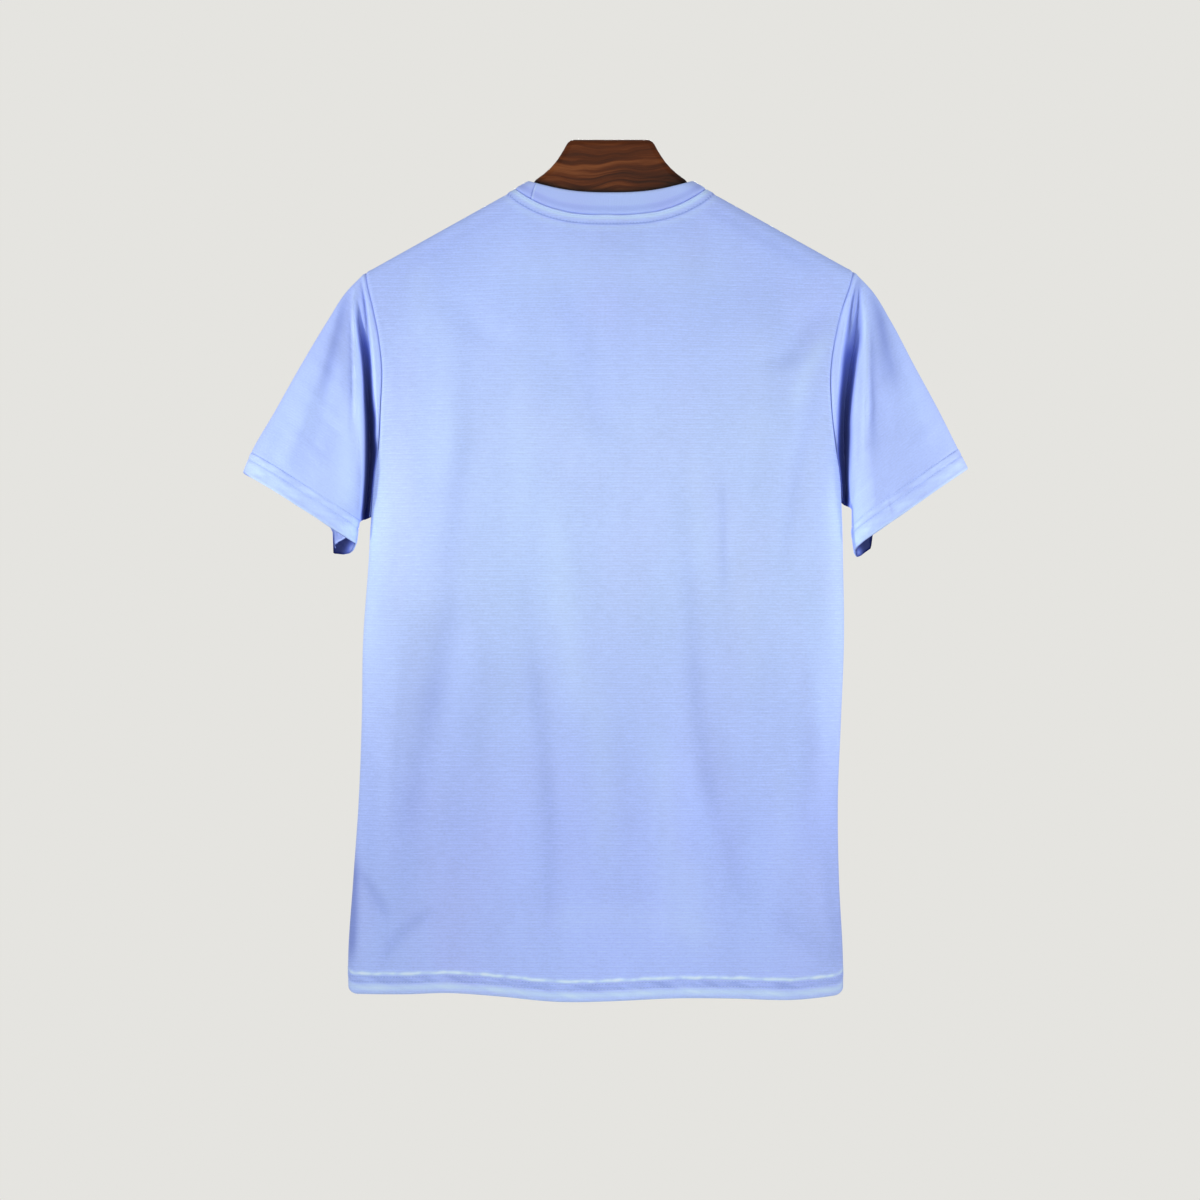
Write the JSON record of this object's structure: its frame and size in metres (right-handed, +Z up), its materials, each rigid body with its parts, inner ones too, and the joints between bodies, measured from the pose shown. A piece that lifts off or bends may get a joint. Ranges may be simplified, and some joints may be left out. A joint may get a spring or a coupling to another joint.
{
  "type": "football jersey on a wooden hanger",
  "caption": "Plain short-sleeved crew-neck football jersey of fine knit, hung on a board hanger of dark wood, with open neck, cuffs and hem.",
  "frame": {"origin": "middle of the hanger's flat top, in the middle of its thickness", "axes": "+Z up, along the length of the hanging jersey; +X towards the wearer's right sleeve; +Y out of the front of the jersey, so its back faces -Y"},
  "size_m": [0.6556, 0.1172, 0.7757],
  "materials": {
    "jersey_cloth": "fine polyester knit with a soft satin sheen",
    "rib_knit": "smooth fine rib knit, matte",
    "wood": "dark walnut with a wavy grain, satin lacquer"
  },
  "bodies": {
    "root": {"back_panel": "jersey_cloth", "front_panel": "jersey_cloth", "sleeve_left": "jersey_cloth", "sleeve_right": "jersey_cloth", "collar": "rib_knit", "hanger": "wood"}
  },
  "joints": []
}
